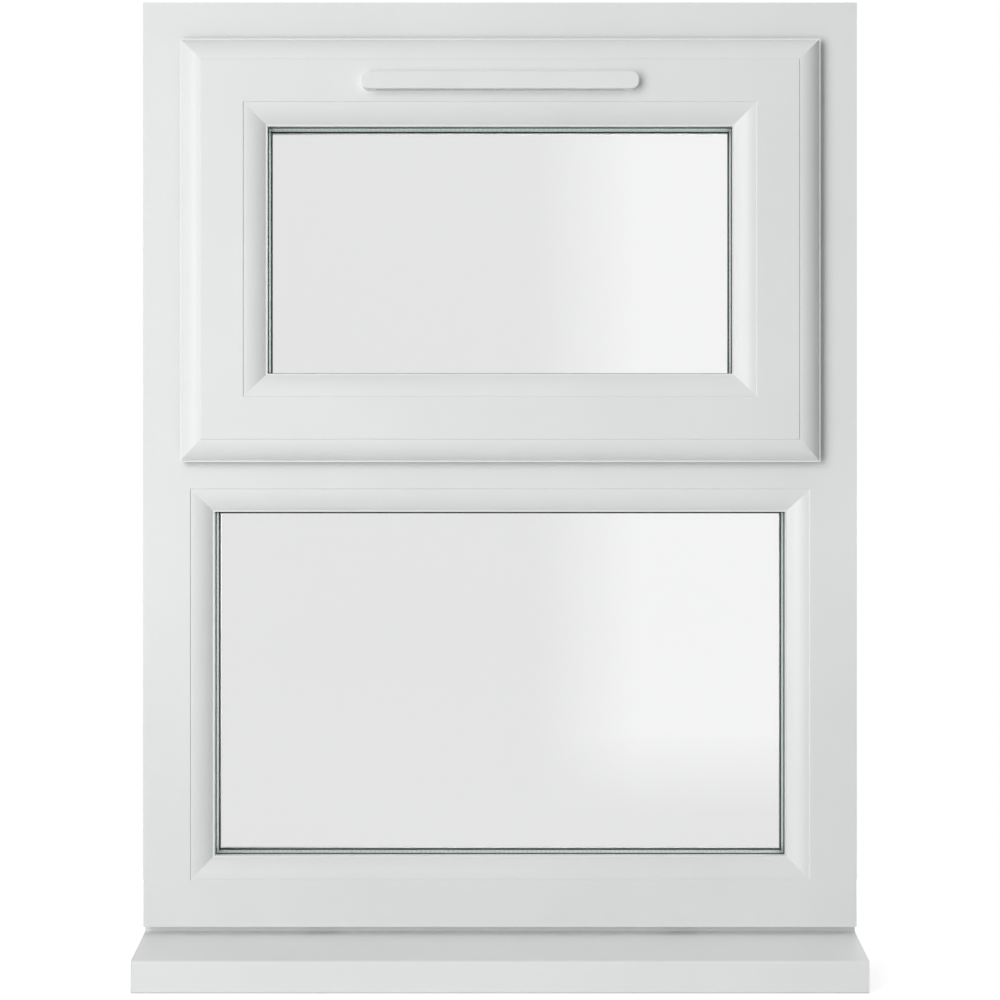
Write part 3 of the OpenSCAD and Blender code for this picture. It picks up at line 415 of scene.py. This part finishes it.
stay_screw = one_screw(0.00348, 0.0023, 0.014)
track_screws_down = 0.172, 0.225, 0.290, 0.347
bar_screws_down = 0.078, 0.1094, 0.141
frame_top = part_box("frame_head")[1][2]
for side, hand in ((-1.0, "left"), (1.0, "right")):
    track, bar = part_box("stay_track_" + hand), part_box("sash_bar_" + hand)
    face = track[0][0] if side > 0.0 else track[1][0]
    middle_y = (track[0][1] + track[1][1]) / 2.0
    screws("track_screws_" + hand, "frame", stay_screw,
           [((face, middle_y, frame_top - down), (-side, 0.0, 0.0)) for down in track_screws_down])
    face = bar[1][0] if side > 0.0 else bar[0][0]
    middle_y = (bar[0][1] + bar[1][1]) / 2.0
    screws("bar_screws_" + hand, "sash", stay_screw,
           [((face, middle_y, frame_top - down), (side, 0.0, 0.0)) for down in bar_screws_down])

# The lock: a zinc plated bar that slides in the sash's groove behind a faceplate.
# Cams on the bar go behind keeps on the transom, and a sector in the gearbox drives it.
plated_steel = brushed_steel("zinc_plated_steel", 0, (0.52, 0.53, 0.55), (0.68, 0.69, 0.71))
dress(plated_steel, "espag_faceplate", "espag_drive_bar", "lock_keeps")
cast_zinc, tree, shader = new_finish("cast_zinc")
place = add(tree, "TexCoord").outputs["Object"]
cast = noise(tree, place, 500.0, 4.0)
tree.links.new(tones(tree, cast, (0.40, 0.41, 0.42), (0.52, 0.53, 0.54)), shader.inputs["Base Color"])
tree.links.new(levels(tree, cast, 0.38, 0.55), shader.inputs["Roughness"])
relief(tree, shader, cast, 0.2, 0.0003)
shader.inputs["Metallic"].default_value = 1.0
dress(cast_zinc, "gearbox_case", "gearbox_pinion", "spindle", "lock_cams")
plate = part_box("espag_faceplate")
plate_x, plate_y = (plate[0][0] + plate[1][0]) / 2.0, (plate[0][1] + plate[1][1]) / 2.0
plate_screw_out = 0.07
plate_screw_x = plate_x - plate_screw_out, plate_x + plate_screw_out
screws("faceplate_screws", "sash", one_screw(0.00348, 0.0022, 0.012),
       [((x, plate_y, plate[0][2]), (0.0, 0.0, -1.0)) for x in plate_screw_x])
keep_l, keep_t, keep_lip_t, keep_screw_in = 0.039, 0.0012, 0.0025, 0.0038
low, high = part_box("lock_keeps")
keep_y, keep_top = (low[1] + keep_lip_t + high[1]) / 2.0, low[2] + keep_t
keep_screw_x = [keep_x + end for keep_x in (low[0], high[0] - keep_l)
                for end in (keep_screw_in, keep_l - keep_screw_in)]
screws("keep_screws", "frame", one_screw(0.00288, 0.0012, 0.010),
       [((x, keep_y, keep_top), (0.0, 0.0, 1.0)) for x in keep_screw_x])

# The handle: a die cast lever that turns on a base screwed to the sash's bottom rail.
# Both are powder coated white, with a fine orange peel.
powder_tones = (0.80, 0.81, 0.82), (0.85, 0.855, 0.86)
powder_coat = grained_white("white_powder_coat", powder_tones, cloud_scale=20.0, grain_scale=650.0,
                            dullness=(0.24, 0.34), strength=0.2, distance=0.0003, coat=0.3)
dress(powder_coat, "handle_base", "handle_lever")

# The trickle vent: a moulded canopy outside, a body inside and a shutter that slides across its slots.
# All three are white moulded plastic with a light spark finish, clipped to the rail through its slots.
vent_plastic = grained_white("vent_moulded_plastic", upvc_tones, cloud_scale=25.0, grain_scale=1600.0,
                             dullness=(0.36, 0.48), strength=0.25, distance=0.0002)
dress(vent_plastic, "vent_body", "vent_shutter")

# The canopy's shell: a thin moulded hood with a crisp front edge, open at the back and along a gap below.
# Its underside rises a little to the front, so that drips run off behind the edge.
# It is built from loops of one rounded outline, set out at each depth from the sash.
low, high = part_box("vent_canopy")
centre_x, centre_z = (low[0] + high[0]) / 2.0, (low[2] + high[2]) / 2.0
corner_r, shell_t, edge_r = 0.0065, 0.0016, 0.0006
reach_x, reach_z = (high[0] - low[0]) / 2.0 - corner_r, (high[2] - low[2]) / 2.0 - corner_r
canopy_depth = high[1] - low[1]
gap_depths = 0.0016, 0.0056
gap_end = reach_x - corner_r
corner_steps = 12
drip_rise = 0.0009
shape = bmesh.new()


def canopy_loop(inset, depth):
    points = []
    lift = drip_rise * depth / canopy_depth
    for side_x, side_z, start in ((1, -1, -90.0), (1, 1, 0.0), (-1, 1, 90.0), (-1, -1, 180.0)):
        for i in range(corner_steps + 1):
            turn = math.radians(start + 90.0 * i / corner_steps)
            points.append((side_x * reach_x + (corner_r - inset) * math.cos(turn),
                           max(side_z * reach_z, lift - reach_z) + (corner_r - inset) * math.sin(turn)))
    foot = inset - reach_z - corner_r + lift
    points += [(-gap_end, foot), (gap_end, foot)]
    return [shape.verts.new((centre_x + x, high[1] - depth, centre_z + z)) for x, z in points]


outside = [canopy_loop(0.0, depth) for depth in (0.0, *gap_depths)]
for angle in (0.0, 30.0, 60.0, 90.0):
    edge_in = edge_r * (1.0 - math.cos(math.radians(angle)))
    edge_back = edge_r * (1.0 - math.sin(math.radians(angle)))
    outside.append(canopy_loop(edge_in, canopy_depth - edge_back))
inside = [canopy_loop(shell_t, depth) for depth in (0.0, *gap_depths, canopy_depth - shell_t)]
count = len(outside[0])
gap = count - 2
for loops in (outside, inside):
    for ring, (back, front) in enumerate(zip(loops, loops[1:])):
        for i in range(count):
            if (ring, i) != (1, gap):
                shape.faces.new((back[i], back[(i + 1) % count], front[(i + 1) % count], front[i]))
for i in range(count):
    following = (i + 1) % count
    shape.faces.new((outside[0][i], outside[0][following], inside[0][following], inside[0][i]))
for ring in (1, 2):
    shape.faces.new((outside[ring][gap], outside[ring][gap + 1], inside[ring][gap + 1], inside[ring][gap]))
for i in (gap, gap + 1):
    shape.faces.new((outside[1][i], outside[2][i], inside[2][i], inside[1][i]))
shape.faces.new(outside[-1])
shape.faces.new(inside[-1])
bmesh.ops.recalc_face_normals(shape, faces=shape.faces)
canopy = new_piece("vent_canopy_shell", shape, vent_plastic)
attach(canopy, "sash")
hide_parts("vent_canopy")

# The studio's floor: a pale sheet under the part, which shows white and keeps the shadow.
# It glows where it is seen, and most at its rim, so that it runs into the white surround.


def seen_directly(tree):
    ray = add(tree, "LightPath").outputs
    seen = maths(tree, "MAXIMUM", ray["Is Camera Ray"], ray["Is Glossy Ray"])
    return maths(tree, "MAXIMUM", seen, ray["Is Transmission Ray"])


floor_finish, tree, shader = new_finish("pale_floor")
place = add(tree, "TexCoord").outputs["Object"]
paint = tones(tree, noise(tree, place, 3.0), (0.84, 0.84, 0.84), (0.86, 0.86, 0.86))
tree.links.new(paint, shader.inputs["Base Color"])
shader.inputs["Roughness"].default_value = 0.9
shader.inputs["Specular IOR Level"].default_value = 0.0
shader.inputs["Emission Color"].default_value = (1.0, 1.0, 1.0, 1.0)
from_middle = add(tree, "VectorMath", {"operation": "LENGTH"}, _0=place).outputs["Value"]
middle_glow, rim_glow, rim_from, rim_to = 0.55, 1.0, 0.35, 0.95
glow = levels(tree, from_middle, middle_glow, rim_glow, rim_from, rim_to)
tree.links.new(maths(tree, "MULTIPLY", seen_directly(tree), glow), shader.inputs["Emission Strength"])
floor_shape = bmesh.new()
bmesh.ops.create_grid(floor_shape, x_segments=8, y_segments=8, size=1.0)
floor = new_piece("studio_floor", floor_shape, floor_finish)
floor_half_w, floor_half_d, floor_forward, floor_gap = 1.1, 0.65, 0.05, 0.0005
floor.scale = (floor_half_w, floor_half_d, 1.0)
floor.location = (0.0, -floor_forward, solid_box[0][2] - floor_gap)

# The studio's surround: white for what the camera, the glass and the metal see, and a weaker light on the
# part, strongest from above and below. On the right it is brighter: in front it gives the plastic its sheen,
# and behind the window its soft edge shows through the glass.
world = bpy.data.worlds.new("studio")
world.use_nodes = True
tree = world.node_tree
tree.nodes.clear()
sheen_gain, backdrop_gain = 0.95, 0.137
side_edge, foot_edge = (0.012, 0.050), (-0.115, -0.085)
x, y, z = add(tree, "SeparateXYZ", Vector=add(tree, "TexCoord").outputs["Generated"]).outputs
ahead = maths(tree, "MAXIMUM", maths(tree, "ABSOLUTE", y), 0.001)
panel_side = levels(tree, maths(tree, "DIVIDE", x, ahead), 0.0, 1.0, *side_edge)
panel_foot = levels(tree, maths(tree, "DIVIDE", z, ahead), 0.0, 1.0, *foot_edge)
panel = maths(tree, "MULTIPLY", panel_side, panel_foot)
ray = add(tree, "LightPath").outputs
front = maths(tree, "MULTIPLY", maths(tree, "LESS_THAN", y, 0.0), sheen_gain)
back = maths(tree, "MULTIPLY", maths(tree, "GREATER_THAN", y, 0.0), backdrop_gain)
sheen = maths(tree, "MULTIPLY", front, ray["Is Glossy Ray"])
backdrop = maths(tree, "MULTIPLY", back, ray["Is Transmission Ray"])
lifted = maths(tree, "MULTIPLY", panel, maths(tree, "ADD", sheen, backdrop))
ambient_level, ambient_poles = 0.175, 0.6
poles = maths(tree, "MULTIPLY", maths(tree, "MULTIPLY", z, z), ambient_poles)
ambient = maths(tree, "ADD", poles, ambient_level)
plain = maths(tree, "MAXIMUM", seen_directly(tree), ambient)
strength = maths(tree, "ADD", plain, lifted)
surround = add(tree, "Background", Color=(1.0, 1.0, 1.0, 1.0), Strength=strength)
add(tree, "OutputWorld", Surface=surround.outputs["Background"])
bpy.context.scene.world = world

# The studio's lamps and camera: a broad tall lamp stands on the left, and a weaker low one on the room side.
# The panes don't show the lamps themselves. The camera looks straight at the outside.
middle = Vector((0.0, 0.0, 0.41))
for name, wide, tall, watts, place in (("broad_lamp", 2.3, 4.4, 134.0, (-2.18, -3.23, 0.80)),
                                       ("room_lamp", 2.4, 0.9, 50.0, (0.8, 3.5, 0.30))):
    lamp = bpy.data.lights.new(name, "AREA")
    lamp.shape = "RECTANGLE"
    lamp.size = wide
    lamp.size_y = tall
    lamp.energy = watts
    lamp_holder = bpy.data.objects.new(name, lamp)
    lamp_holder.location = place
    lamp_holder.visible_transmission = False
    lamp_holder.rotation_euler = (middle - lamp_holder.location).to_track_quat("-Z", "Y").to_euler()
    bpy.context.scene.collection.objects.link(lamp_holder)

view = bpy.data.cameras.new("front_view")
view.sensor_width = 36.0
view.lens = 98.4
view_holder = bpy.data.objects.new("front_view", view)
view_back, view_height = 2.336, 0.3949
view_holder.location = (0.0, -view_back, view_height)
view_holder.rotation_euler = (math.radians(90.0), 0.0, 0.0)
bpy.context.scene.collection.objects.link(view_holder)
bpy.context.scene.camera = view_holder
bpy.context.scene.view_settings.view_transform = "Standard"
